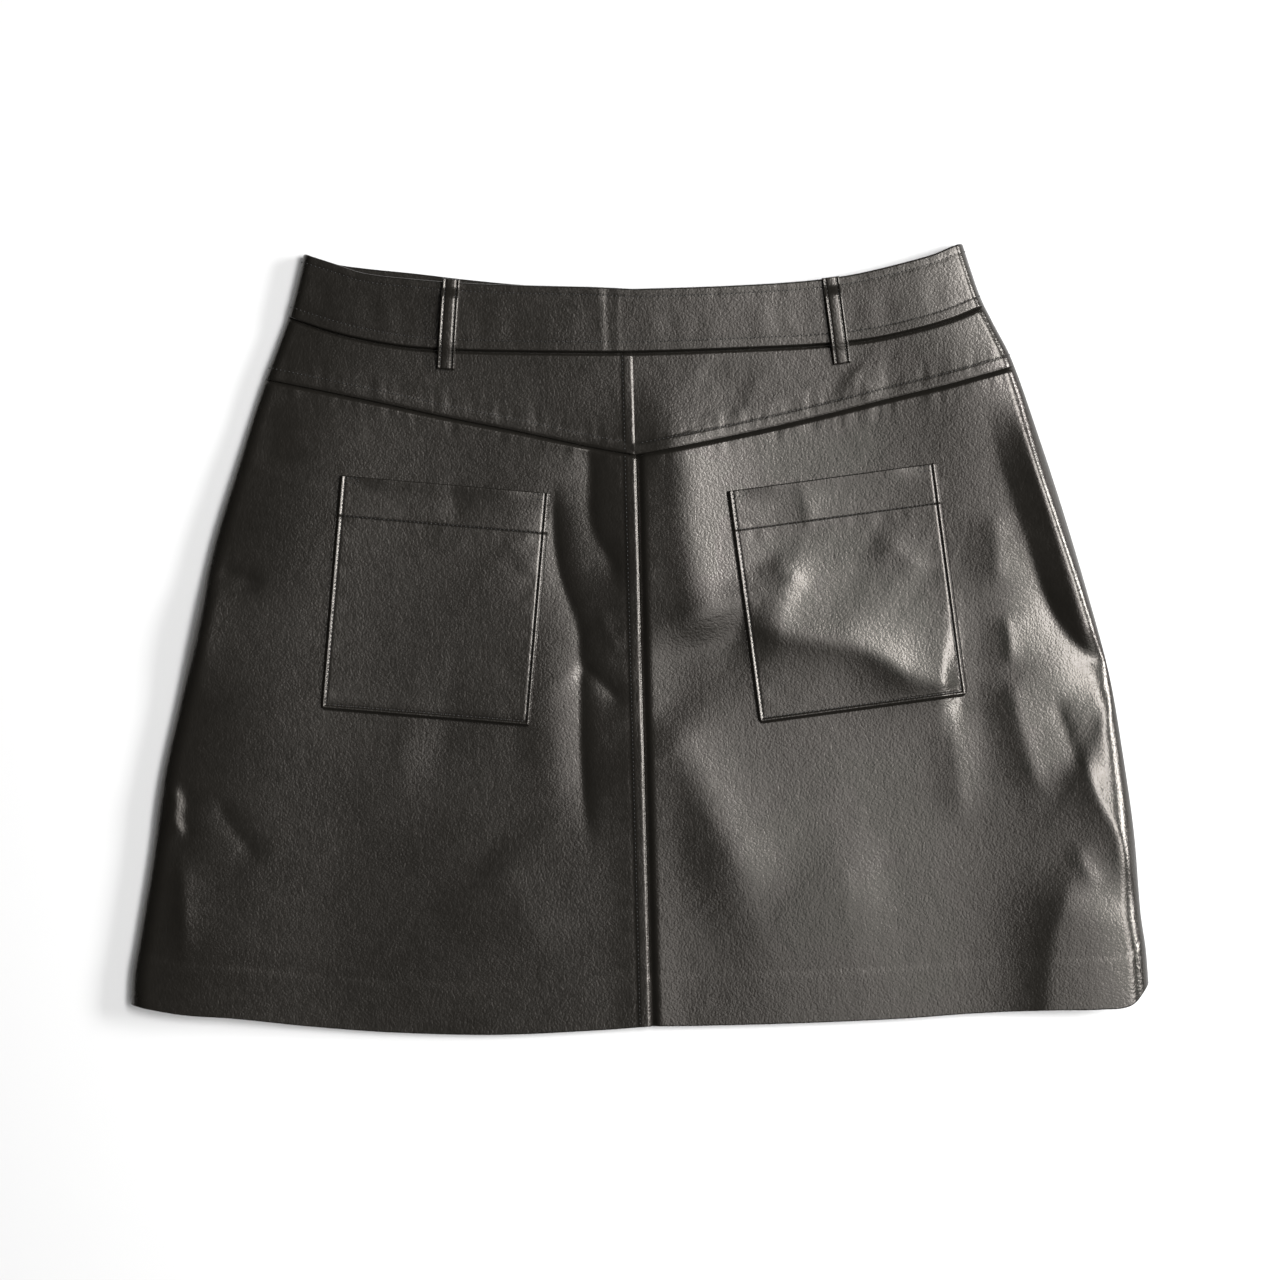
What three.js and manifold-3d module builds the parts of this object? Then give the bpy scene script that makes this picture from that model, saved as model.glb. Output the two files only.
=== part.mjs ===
import * as THREE from 'three';
import { mergeVertices } from 'three/addons/utils/BufferGeometryUtils.js';
import Module from 'manifold-3d';

// A flared leather mini skirt lying on its front, so the back shows. Millimetres: the waist is towards
// +Y and the table is at z = 0. Points are written from the centre back seam, and centre moves them to
// the origin, the middle of the skirt's footprint.
const centre = { x: 6.05, y: -0.45 };
const leather = { ply: 1.2, doubled: 2.4, seamGap: 0.3 };
const lay = {
  height: 6.2, // top of the back over the table where no fold runs
  lowest: 2.9, // floor of the deepest fold, just over the front
  lowestAtHem: 4.1,
  soft: 0.5, // how gently a fold meets its floor
  waistY: 222,
  flareRun: 200, // the sides reach their full swell this far below the waist
};
const band = { raise: 1.2 };
const lap = { width: 6.2, step: 0.7, raise: 0.7 }; // doubled strips beside the centre back and the yoke
const hem = { allowance: 28, step: 3 };
const turn = { middle: 3.75, seamIn: 11, steps: 3 }; // side folds, and the side seams under them
const sideFold = {
  left: { atWaist: 6, atHem: 10.5, swellAtWaist: 2, swellAtHem: 6, swellIn: 22, swellWidth: 72 },
  right: { atWaist: 6, atHem: 11.5, swellAtWaist: 4, swellAtHem: 6, swellIn: 12, swellWidth: 58 },
};
const backRidge = { height: 0.8, width: 14, startY: 105, run: 40 };
const waistRise = { height: 7, width: 130, startY: 90, run: 160 };
const pocket = { width: 118.5, height: 131.5, corner: 4, thick: 1.5, hemDepth: 22.4, hemRaise: 0.6 };
const pocketPlaces = {
  left: { x: -114.5, y: 24, angle: -6.4 },
  right: { x: 116, y: 22.2, angle: 6.2 },
};
const loop = { width: 10, thick: 2 };
const loopPlaces = {
  left: { top: [-100.4, 203.6], bottom: [-105.1, 153.5] },
  right: { top: [111, 199], bottom: [116.4, 150.7] },
};
const zip = { tape: 24, tapeThick: 0.7, chain: 5, chainThick: 1.6, length: 98, topY: 157 };

// Seams and edges across the skirt: at is the share of the half width, -1 the left fold, 1 the right
const seams = [
  { at: -1, backWaist: 220.5, frontWaist: 220, bandSeam: 185.5, yokeSeam: 151, hem: -197 },
  { at: -0.9, backWaist: 214.5, frontWaist: 215, bandSeam: 179, yokeSeam: 146.5, hem: -203 },
  { at: -0.8, backWaist: 208.5, frontWaist: 212, bandSeam: 173.5, yokeSeam: 142, hem: -206 },
  { at: -0.65, backWaist: 204.5, frontWaist: 208.5, bandSeam: 167.5, yokeSeam: 135, hem: -212 },
  { at: -0.5, backWaist: 201.5, frontWaist: 204.5, bandSeam: 164.5, yokeSeam: 127.5, hem: -216.5 },
  { at: -0.3, backWaist: 199, frontWaist: 200, bandSeam: 162.5, yokeSeam: 118, hem: -219.5 },
  { at: -0.1, backWaist: 197, frontWaist: 197, bandSeam: 161, yokeSeam: 107.5, hem: -218.5 },
  { at: 0, backWaist: 195.5, frontWaist: 195, bandSeam: 160.5, yokeSeam: 103, hem: -217 },
  { at: 0.1, backWaist: 195.5, frontWaist: 195, bandSeam: 160.5, yokeSeam: 106.5, hem: -217.5 },
  { at: 0.3, backWaist: 196, frontWaist: 195, bandSeam: 161, yokeSeam: 114.5, hem: -217.5 },
  { at: 0.5, backWaist: 197.5, frontWaist: 196.5, bandSeam: 162, yokeSeam: 123.5, hem: -216.5 },
  { at: 0.65, backWaist: 200.5, frontWaist: 199.5, bandSeam: 164.5, yokeSeam: 130.5, hem: -214.5 },
  { at: 0.8, backWaist: 206, frontWaist: 205, bandSeam: 170, yokeSeam: 137, hem: -213.5 },
  { at: 0.9, backWaist: 210.5, frontWaist: 209.5, bandSeam: 175, yokeSeam: 142, hem: -213.5 },
  { at: 0.96, backWaist: 214.5, frontWaist: 213.5, bandSeam: 179, yokeSeam: 145, hem: -211.5 },
  { at: 1, backWaist: 216.5, frontWaist: 216, bandSeam: 181.5, yokeSeam: 147.5, hem: -200.5 },
];

// Side folds from hem to waist: how far each stands out from the centre back seam
const sides = [
  { y: -222, left: 292, right: 280 },
  { y: -183, left: 290.6, right: 278.5 },
  { y: -161, left: 286.6, right: 276 },
  { y: -116, left: 278, right: 273.5 },
  { y: -72, left: 271, right: 268.5 },
  { y: -27, left: 260, right: 262 },
  { y: 17, left: 249.5, right: 251.5 },
  { y: 62, left: 238, right: 239.5 },
  { y: 106, left: 223, right: 226.5 },
  { y: 151, left: 207, right: 212 },
  { y: 173, left: 198, right: 201.5 },
  { y: 186, left: 193, right: 195.5 },
  { y: 203, left: 188, right: 190 },
  { y: 222, left: 183, right: 184.5 },
];

// Creases: a smooth line through points, its rise (or fall), its reach to the left and right of the way
// it runs, how sharp it is (a small edge is sharp), and the share of its length over which each end fades
const creases = [
  {
    line: [[191, 137], [204, 89], [217, 48], [226, 18], [237, -3], [254, -20], [272, -32]],
    rise: -1.9, left: 10, right: 26, edge: 2.5, fade: [0.4, 0.12],
  },
  {
    line: [[215, 56], [222, 30], [231, 8], [243, -9], [258, -21], [274, -30]],
    rise: -3, left: 12, right: 24, edge: 1.5, fade: [0.5, 0.1],
  },
  {
    line: [[210, 137], [222, 92], [236, 52], [246, 26], [257, 2], [269, -16]],
    rise: 3.6, left: 7, right: 10, edge: 3, fade: [0.35, 0.15],
  },
  {
    line: [[242, -126], [235, -150], [229, -169], [225, -186], [222, -224]],
    rise: 2.3, left: 90, right: 12, edge: 6, fade: [0.35, 0],
  },
  {
    line: [[10, 150], [16, 118], [24, 94], [25, 66], [28, 38], [33, 14], [41, -9]],
    rise: 5, left: 30, right: 34, edge: 10, fade: [0.34, 0.18],
  },
  {
    line: [[5, -41], [17, -60], [30, -85], [40, -109], [53, -132], [72, -154]],
    rise: 2.5, left: 18, right: 24, edge: 11, fade: [0.2, 0.35],
  },
  {
    line: [[54, 10], [74, 2], [96, -3], [118, -7], [134, -14], [149, -24], [164, -28], [180, -29]],
    rise: 3.5, left: 18, right: 12, edge: 4, fade: [0.2, 0.1],
  },
  {
    line: [[242, -66], [247, -80], [253, -97], [261, -112], [267, -126], [269, -142], [268, -158]],
    rise: 2.4, left: 9, right: 12, edge: 2, fade: [0.25, 0.3],
  },
  {
    line: [[239, -118], [244, -134], [253, -147]],
    rise: 0.7, left: 5, right: 6, edge: 2, fade: [0.4, 0.4],
  },
  {
    line: [[-27, 114], [-26, 95], [-27, 74], [-25, 61], [-20, 51], [-15, 41], [-12, 23]],
    rise: -1.9, left: 6, right: 17, edge: 1.5, fade: [0.15, 0.25],
  },
  {
    line: [[-47, 91], [-47, 60], [-44, 37], [-38, 18], [-34, 0], [-35, -56], [-34, -89], [-31, -124]],
    rise: -2, left: 5.5, right: 15, edge: 0.8, fade: [0.12, 0.25],
  },
  {
    line: [[-36, -11], [-24, -23], [-15, -32], [-7, -42]],
    rise: -1.4, left: 5, right: 7, edge: 0.8, fade: [0.2, 0.4],
  },
];

// Columns of points from the centre back to a side: a share of the half width plus millimetres
const column = (share, add = 0) => ({ share, add });
const evenColumns = (side) => columnShares[side].map((share) => column(share));
const columnShares = {
  left: [0.05, 0.075, 0.1, 0.125, 0.15, 0.175, 0.205, 0.24, 0.28, 0.33, 0.39, 0.45, 0.51, 0.58, 0.65],
  right: [0.03, 0.06, 0.09, 0.12, 0.15, 0.18, 0.21, 0.25, 0.3, 0.36, 0.42, 0.48, 0.54, 0.6, 0.66],
};
const columns = {
  left: [
    { share: 0, add: leather.seamGap / 2, lift: lap.raise },
    { share: 0, add: lap.width, lift: lap.raise },
    column(0, lap.width + lap.step),
    ...evenColumns('left'),
    column(0.8, -20), column(0.95, -42), column(1, -40), column(1, -30), column(1, -21), column(1, -15),
  ],
  right: [
    column(0, leather.seamGap / 2),
    ...evenColumns('right'),
    column(0.76, -14), column(0.86, -28), column(0.96, -42), column(1, -44), column(1, -38),
    column(1, -32), column(1, -26), column(1, -20), column(1, -15),
  ],
};
const turnColumns = Array.from({ length: 2 * turn.steps + 1 }, (_, step) => (
  { angle: (step * Math.PI) / (2 * turn.steps) }
));
const seamColumn = { angle: Math.PI, seam: true };
const backColumns = (side) => [...columns[side], ...turnColumns, seamColumn];

// Value of a table's column at a place: a cubic through its rows, straight-ended
function along(rows, by, key, at) {
  const last = rows.length - 1;
  const slope = (i) => {
    const before = rows[Math.max(i - 1, 0)];
    const after = rows[Math.min(i + 1, last)];
    return (after[key] - before[key]) / (after[by] - before[by]);
  };
  const x = THREE.MathUtils.clamp(at, rows[0][by], rows[last][by]);
  const i = Math.min(Math.max(rows.findIndex((row) => row[by] > x) - 1, 0), last - 1);
  const start = x >= rows[last][by] ? last - 1 : i;
  const span = rows[start + 1][by] - rows[start][by];
  const t = (x - rows[start][by]) / span;
  const h = t * t * (3 - 2 * t);
  return (1 - h) * rows[start][key] + h * rows[start + 1][key]
    + span * (t * (1 - t) * (1 - t) * slope(start) - t * t * (1 - t) * slope(start + 1));
}

const halfSeams = {
  left: seams.filter((row) => row.at <= 0).map((row) => ({ ...row, at: -row.at })).reverse(),
  right: seams.filter((row) => row.at >= 0),
};
const edgeAt = (side, y) => along(sides, 'y', side, y);
function seamAt(side, share, key) {
  if (key !== 'frontSeam') return along(halfSeams[side], 'at', key, share);
  const [seam, front, back] = ['bandSeam', 'frontWaist', 'backWaist'].map((line) => seamAt(side, share, line));
  return seam + front - back;
}
const flare = (y) => THREE.MathUtils.smoothstep(lay.waistY - y, 0, lay.flareRun);
const grow = (y, atWaist, atHem) => atWaist + (atHem - atWaist) * flare(y);

// Smooth line through a crease's points
function through(points, stepsEach = 4) {
  const rows = points.map(([x, y], at) => ({ at, x, y }));
  const places = Array.from({ length: stepsEach * (points.length - 1) + 1 }, (_, i) => i / stepsEach);
  return places.map((at) => [along(rows, 'at', 'x', at), along(rows, 'at', 'y', at)]);
}

// Rise of one crease at a point
function creaseAt(crease, x, y) {
  const line = through(crease.line);
  const steps = line.slice(1).map(([endX, endY], i) => {
    const [startX, startY] = line[i];
    const [alongX, alongY] = [endX - startX, endY - startY];
    return { startX, startY, alongX, alongY, length: Math.hypot(alongX, alongY) };
  });
  const total = steps.reduce((sum, step) => sum + step.length, 0);
  let nearest = { distance: Infinity };
  let run = 0;
  for (const step of steps) {
    const share = ((x - step.startX) * step.alongX + (y - step.startY) * step.alongY) / step.length ** 2;
    const held = THREE.MathUtils.clamp(share, 0, 1);
    const offX = x - step.startX - held * step.alongX;
    const offY = y - step.startY - held * step.alongY;
    const distance = Math.hypot(offX, offY);
    if (distance < nearest.distance) {
      const onLeft = step.alongX * offY - step.alongY * offX >= 0;
      const width = onLeft ? crease.left : crease.right;
      nearest = { distance, width, at: (run + held * step.length) / total };
    }
    run += step.length;
  }
  const { smoothstep } = THREE.MathUtils;
  const [fadeIn, fadeOut] = crease.fade.map((fade) => Math.max(fade, 0.001));
  const ends = smoothstep(nearest.at, 0, fadeIn) * smoothstep(1 - nearest.at, 0, fadeOut);
  const away = Math.hypot(nearest.distance, crease.edge) - crease.edge;
  return crease.rise * ends * Math.exp(-away / nearest.width);
}

// Height of the back's outer face over the table, x signed from the centre back seam
function height(x, y) {
  const side = x < 0 ? 'left' : 'right';
  const fold = sideFold[side];
  const { smoothstep } = THREE.MathUtils;
  const fromEdge = edgeAt(side, y) - Math.abs(x);
  const swell = grow(y, fold.swellAtWaist, fold.swellAtHem) * hump(fromEdge - fold.swellIn, fold.swellWidth);
  const ridge = backRidge.height * hump(x, backRidge.width)
    * smoothstep(backRidge.startY - y, 0, backRidge.run);
  const waist = waistRise.height * hump(x, waistRise.width)
    * smoothstep(y - waistRise.startY, 0, waistRise.run);
  const folds = creases.reduce((sum, crease) => sum + creaseAt(crease, x, y), 0);
  const aboveHem = y - seamAt(side, Math.min(Math.abs(x) / edgeAt(side, y), 1), 'hem');
  const nearHem = smoothstep(hem.allowance + 2 * hem.step + 2 - aboveHem, 0, 5);
  const lowest = lay.lowest + (lay.lowestAtHem - lay.lowest) * nearHem;
  const over = (lay.height + swell + ridge + waist + folds - lowest) / lay.soft;
  return lowest + lay.soft * (Math.max(over, 0) + Math.log1p(Math.exp(-Math.abs(over))));
}
const hump = (distance, width) => Math.exp(-((distance / width) ** 2));

// Point of a wall in one column and row, on its outer face or thick inside it
function wallPoint(side, place, row, raise, thick) {
  const sign = side === 'left' ? -1 : 1;
  let edge = edgeAt(side, 0);
  let x = 0;
  let y = 0;
  for (let pass = 0; pass < 8; pass++) {
    const wide = grow(y, sideFold[side].atWaist, sideFold[side].atHem);
    if (place.seam) x = edge - turn.seamIn;
    else if (place.angle === undefined) x = place.share * edge + place.add;
    else if (place.angle <= Math.PI / 2) x = edge - wide * (1 - Math.sin(place.angle));
    else x = edge - turn.middle * (1 - Math.sin(place.angle));
    const low = seamAt(side, x / edge, row.low);
    y = low + row.share * (seamAt(side, x / edge, row.high) - low) + row.add;
    edge = edgeAt(side, y);
  }
  const top = height(sign * x, y) + raise;
  if (place.angle === undefined) return [sign * x, y, top - thick];
  const sine = Math.sin(place.angle);
  const cosine = Math.cos(place.angle);
  const reach = cosine >= 0 ? top - turn.middle : turn.middle;
  return [sign * (x - thick * sine), y, turn.middle + (reach - thick) * cosine];
}

// Closed body between two grids of points with the same rows and columns
function wall(outer, inner) {
  const [rows, width] = [outer.length, outer[0].length];
  const points = [...outer.flat(), ...inner.flat()];
  const count = rows * width;
  const index = [];
  const quad = (a, b, c, d) => index.push(a, b, c, a, c, d);
  for (let r = 0; r < rows - 1; r++) {
    for (let c = 0; c < width - 1; c++) {
      const [a, b, d, e] = [r * width + c, r * width + c + 1, (r + 1) * width + c + 1, (r + 1) * width + c];
      if (Math.abs(points[a][2] - points[d][2]) <= Math.abs(points[b][2] - points[e][2])) {
        quad(a, b, d, e);
        quad(count + a, count + e, count + d, count + b);
      } else {
        quad(b, d, e, a);
        quad(count + b, count + a, count + e, count + d);
      }
    }
  }
  const rim = [];
  for (let c = 0; c < width; c++) rim.push(c);
  for (let r = 1; r < rows; r++) rim.push(r * width + width - 1);
  for (let c = width - 2; c >= 0; c--) rim.push((rows - 1) * width + c);
  for (let r = rows - 2; r > 0; r--) rim.push(r * width);
  rim.forEach((a, i) => {
    const b = rim[(i + 1) % rim.length];
    quad(a, count + a, count + b, b);
  });
  return facingOut(points, index);
}

// Geometry moved to the origin, with its faces turned outwards
function facingOut(points, index) {
  const moved = points.map(([x, y, z]) => new THREE.Vector3(x + centre.x, y + centre.y, z));
  let volume = 0;
  for (let i = 0; i < index.length; i += 3) {
    volume += moved[index[i]].dot(new THREE.Vector3().crossVectors(moved[index[i + 1]], moved[index[i + 2]]));
  }
  const geometry = new THREE.BufferGeometry().setFromPoints(moved);
  geometry.setIndex(volume < 0 ? index.map((_, i) => index[i - (i % 3) + 2 - (i % 3)]) : index);
  return geometry;
}

const skirt = new THREE.Group();
function sew(name, geometry, look) {
  const mesh = new THREE.Mesh(geometry, new THREE.MeshStandardMaterial(look));
  mesh.name = name;
  skirt.add(mesh);
}
const blackLeather = { color: 0x282520, roughness: 0.42, metalness: 0 };
const blackTape = { color: 0x17171a, roughness: 0.85, metalness: 0 };

const between = (low, high, share, add = 0, extra = {}) => ({ low, high, share, add, ...extra });
const shares = (count) => Array.from({ length: count }, (_, i) => (i + 1) / (count + 1));
const halfGap = leather.seamGap / 2;
const panelRows = [
  between('hem', 'yokeSeam', 0, 0, { thick: leather.doubled }),
  between('hem', 'yokeSeam', 0, hem.allowance / 2, { thick: leather.doubled }),
  between('hem', 'yokeSeam', 0, hem.allowance, { thick: leather.doubled }),
  between('hem', 'yokeSeam', 0, hem.allowance + hem.step),
  ...shares(22).filter((share) => share > 0.13).map((share) => between('hem', 'yokeSeam', share)),
  between('hem', 'yokeSeam', 1, -halfGap),
];
const yokeRows = [
  between('yokeSeam', 'bandSeam', 0, halfGap, { lift: lap.raise }),
  between('yokeSeam', 'bandSeam', 0, lap.width, { lift: lap.raise }),
  between('yokeSeam', 'bandSeam', 0, lap.width + lap.step),
  ...[0.4, 0.6, 0.8].map((share) => between('yokeSeam', 'bandSeam', share)),
  between('yokeSeam', 'bandSeam', 1, -halfGap),
];
const bandRows = [0, 0.5, 1].map((share) => between('bandSeam', 'backWaist', share, share ? 0 : halfGap));

// Grids of a wall's two faces over some columns and rows
function faces(side, places, rows, raise, thick) {
  const grid = (inset) => rows.map((row) => places.map((place) => {
    const lift = raise + Math.max(place.lift ?? 0, row.lift ?? 0);
    return wallPoint(side, place, row, lift, inset ? row.thick ?? thick : 0);
  }));
  return [grid(false), grid(true)];
}

for (const side of ['left', 'right']) {
  const [panel, yoke] = [panelRows, yokeRows].map((rows) => faces(side, backColumns(side), rows, 0, leather.ply));
  sew(`back_panel_${side}`, wall(...panel), blackLeather);
  sew(`back_yoke_${side}`, wall(...yoke), blackLeather);
}

// The waistband's back stretch runs from one side seam over the back to the other
const bandColumns = (side) => backColumns(side).filter((place) => place.lift === undefined);
const [bandLeft, bandRight] = ['left', 'right'].map((side) => (
  faces(side, bandColumns(side), bandRows, band.raise, leather.doubled)
));
const bandFace = (face) => bandLeft[face].map((row, i) => [...row].reverse().concat(bandRight[face][i]));
sew('back_waistband', wall(bandFace(0), bandFace(1)), blackLeather);

// The front lies flat on the table, between the side seams
function frontPiece(side, low, high, rowShares, thick) {
  const sign = side === 'left' ? -1 : 1;
  const grid = (z) => rowShares.map(({ share, add }) => [0, 0.25, 0.5, 0.75, 1].map((across) => {
    let y = 0;
    let x = 0;
    for (let pass = 0; pass < 8; pass++) {
      const edge = edgeAt(side, y);
      x = halfGap + across * (edge - turn.seamIn - leather.seamGap - halfGap);
      const start = seamAt(side, x / edge, low);
      y = start + share * (seamAt(side, x / edge, high) - start) + add;
    }
    return [sign * x, y, z];
  }));
  return wall(grid(0), grid(thick));
}
const evenRows = (count, startGap, endGap) => Array.from({ length: count + 1 }, (_, i) => ({
  share: i / count, add: i === 0 ? startGap : i === count ? -endGap : 0,
}));
for (const side of ['left', 'right']) {
  const panel = frontPiece(side, 'hem', 'frontSeam', evenRows(14, 0, halfGap), leather.ply);
  const waistband = frontPiece(side, 'frontSeam', 'frontWaist', evenRows(2, halfGap, 0), leather.doubled);
  sew(`front_panel_${side}`, panel, blackLeather);
  sew(`front_waistband_${side}`, waistband, blackLeather);
}

// A closed geometry as a solid that can be joined and cut, and back
const wasm = await Module();
wasm.setup();
function toSolid(geometry) {
  geometry.deleteAttribute('normal');
  geometry.deleteAttribute('uv');
  const merged = mergeVertices(geometry, 1e-4);
  return new wasm.Manifold(new wasm.Mesh({
    numProp: 3,
    vertProperties: new Float32Array(merged.attributes.position.array),
    triVerts: new Uint32Array(merged.index.array),
  }));
}
function toGeometry(solid) {
  const mesh = solid.getMesh();
  const geometry = new THREE.BufferGeometry();
  geometry.setAttribute('position', new THREE.BufferAttribute(new Float32Array(mesh.vertProperties), 3));
  geometry.setIndex(new THREE.BufferAttribute(new Uint32Array(mesh.triVerts), 1));
  return geometry;
}

// Prism over a rectangle on a pocket, from its lower to its upper edge, with rounded lower corners
function pocketPrism(place, lowEdge, topEdge, corner) {
  const half = pocket.width / 2;
  const outline = new THREE.Shape();
  outline.moveTo(half, topEdge).lineTo(-half, topEdge).lineTo(-half, lowEdge + corner);
  if (corner) outline.absarc(-half + corner, lowEdge + corner, corner, Math.PI, 1.5 * Math.PI);
  if (corner) outline.absarc(half - corner, lowEdge + corner, corner, -0.5 * Math.PI, 0);
  else outline.lineTo(half, lowEdge);
  const prism = new THREE.ExtrudeGeometry(outline, { depth: 60, bevelEnabled: false, curveSegments: 4 });
  prism.rotateZ(THREE.MathUtils.degToRad(place.angle));
  prism.translate(place.x + centre.x, place.y + centre.y, -20);
  return toSolid(prism);
}

// A pocket is the panel's own surface moved out, cut to the pocket's outline, thicker along its hem
for (const side of ['left', 'right']) {
  const skin = (thick) => {
    const [outer] = faces(side, columns[side], panelRows, 0, 0);
    const lifted = (by) => outer.map((row) => row.map(([x, y, z]) => [x, y, z + by]));
    return toSolid(wall(lifted(leather.seamGap + thick), lifted(leather.seamGap)));
  };
  const place = pocketPlaces[side];
  const half = pocket.height / 2;
  const body = skin(pocket.thick).intersect(pocketPrism(place, -half, half, pocket.corner));
  const hemPrism = pocketPrism(place, half - pocket.hemDepth, half, 0);
  const topHem = skin(pocket.thick + pocket.hemRaise).intersect(hemPrism);
  sew(`pocket_${side}`, toGeometry(body.add(topHem)), blackLeather);
}

// A belt loop bridges the waistband: along is the way down from its top, stand its height over the yoke
const bridge = [
  { along: 0, stand: 1.7 },
  { along: 5, stand: 1.8 },
  { along: 11, stand: 3.9 },
  { along: 24, stand: 4.3 },
  { along: 36, stand: 3.9 },
  { along: 43, stand: 2.3 },
  { along: 50, stand: 1.1 },
];
for (const side of ['left', 'right']) {
  const { top, bottom } = loopPlaces[side];
  const length = Math.hypot(bottom[0] - top[0], bottom[1] - top[1]);
  const way = [(bottom[0] - top[0]) / length, (bottom[1] - top[1]) / length];
  const grid = (thick) => bridge.map(({ along: down, stand }) => [-0.5, 0, 0.5].map((across) => {
    const reach = (down * length) / bridge.at(-1).along;
    const x = top[0] + way[0] * reach - way[1] * across * loop.width;
    const y = top[1] + way[1] * reach + way[0] * across * loop.width;
    return [x, y, height(x, y) + stand + thick];
  }));
  sew(`belt_loop_${side}`, wall(grid(loop.thick), grid(0)), blackLeather);
}

// The fly zip lies inside, over the join of the two front halves
const zipSection = new THREE.Shape();
const zipProfile = [
  [-zip.tape / 2, 0], [zip.tape / 2, 0], [zip.tape / 2, zip.tapeThick], [zip.chain / 2, zip.tapeThick],
  [zip.chain / 2, zip.chainThick], [-zip.chain / 2, zip.chainThick], [-zip.chain / 2, zip.tapeThick],
  [-zip.tape / 2, zip.tapeThick],
];
zipSection.setFromPoints(zipProfile.map(([x, z]) => new THREE.Vector2(x, z)));
const zipStrip = new THREE.ExtrudeGeometry(zipSection, { depth: zip.length, bevelEnabled: false });
zipStrip.rotateX(Math.PI / 2);
zipStrip.translate(centre.x, zip.topY + centre.y, leather.ply + leather.seamGap);
sew('fly_zip', zipStrip, blackTape);

export default skirt;
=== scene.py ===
import math

import bpy
import numpy as np
from mathutils import Matrix, Vector


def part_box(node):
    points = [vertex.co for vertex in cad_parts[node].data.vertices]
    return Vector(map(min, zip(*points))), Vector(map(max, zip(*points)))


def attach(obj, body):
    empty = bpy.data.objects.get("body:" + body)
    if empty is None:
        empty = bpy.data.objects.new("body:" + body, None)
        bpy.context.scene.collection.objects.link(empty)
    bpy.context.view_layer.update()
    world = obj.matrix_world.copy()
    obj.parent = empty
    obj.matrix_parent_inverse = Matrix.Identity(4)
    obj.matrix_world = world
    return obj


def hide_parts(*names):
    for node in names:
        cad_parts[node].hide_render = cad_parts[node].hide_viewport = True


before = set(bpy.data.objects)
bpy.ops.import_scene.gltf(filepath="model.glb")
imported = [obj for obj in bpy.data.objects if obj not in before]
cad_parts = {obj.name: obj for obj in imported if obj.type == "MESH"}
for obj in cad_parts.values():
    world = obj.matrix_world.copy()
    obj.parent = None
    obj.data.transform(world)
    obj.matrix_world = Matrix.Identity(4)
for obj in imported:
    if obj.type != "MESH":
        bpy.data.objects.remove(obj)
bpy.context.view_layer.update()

# Lengths are millimetres from the centre back seam, +Y to the waist, +Z up from the table.
# toObject() moves them to the frame's origin and turns them into metres.
mm = 0.001
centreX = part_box("back_panel_right")[0][0] / mm - 0.15
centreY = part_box("fly_zip")[1][1] / mm - 157

leather = {"ply": 1.2, "doubled": 2.4, "gap": 0.3}
lay = {"height": 6.2, "lowest": 2.9, "lowestAtHem": 4.1, "soft": 0.5, "waistY": 222, "flareRun": 200}
turn = {"middle": 3.75, "seamIn": 11, "steps": 9}
sideFold = {
    "left": {
        "atWaist": 6, "atHem": 10.5, "swellAtWaist": 2, "swellAtHem": 6, "swellIn": 22, "swellWidth": 72,
    },
    "right": {
        "atWaist": 6, "atHem": 11.5, "swellAtWaist": 4, "swellAtHem": 6, "swellIn": 12, "swellWidth": 58,
    },
}
backRidge = {"height": 0.8, "width": 14, "startY": 105, "run": 40}
waistRise = {"height": 7, "width": 130, "startY": 90, "run": 160}

# Seams and edges across the skirt: share of the half width, then the height of each
seamRows = {
    "at":         [-1, -.9, -.8, -.65, -.5, -.3, -.1, 0,
                   .1, .3, .5, .65, .8, .9, .96, 1],
    "backWaist":  [220.5, 214.5, 208.5, 204.5, 201.5, 199, 197, 195.5,
                   195.5, 196, 197.5, 200.5, 206, 210.5, 214.5, 216.5],
    "frontWaist": [220, 215, 212, 208.5, 204.5, 200, 197, 195,
                   195, 195, 196.5, 199.5, 205, 209.5, 213.5, 216],
    "bandSeam":   [185.5, 179, 173.5, 167.5, 164.5, 162.5, 161, 160.5,
                   160.5, 161, 162, 164.5, 170, 175, 179, 181.5],
    "yokeSeam":   [151, 146.5, 142, 135, 127.5, 118, 107.5, 103,
                   106.5, 114.5, 123.5, 130.5, 137, 142, 145, 147.5],
    "hem":        [-197, -203, -206, -212, -216.5, -219.5, -218.5, -217,
                   -217.5, -217.5, -216.5, -214.5, -213.5, -213.5, -211.5, -200.5],
}
# Side folds from hem to waist: how far each stands out from the centre back seam
sideRows = {
    "y":     [-222, -183, -161, -116, -72, -27, 17, 62, 106, 151, 173, 186, 203, 222],
    "left":  [292, 290.6, 286.6, 278, 271, 260, 249.5, 238, 223, 207, 198, 193, 188, 183],
    "right": [280, 278.5, 276, 273.5, 268.5, 262, 251.5, 239.5, 226.5, 212, 201.5, 195.5, 190, 184.5],
}

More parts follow.
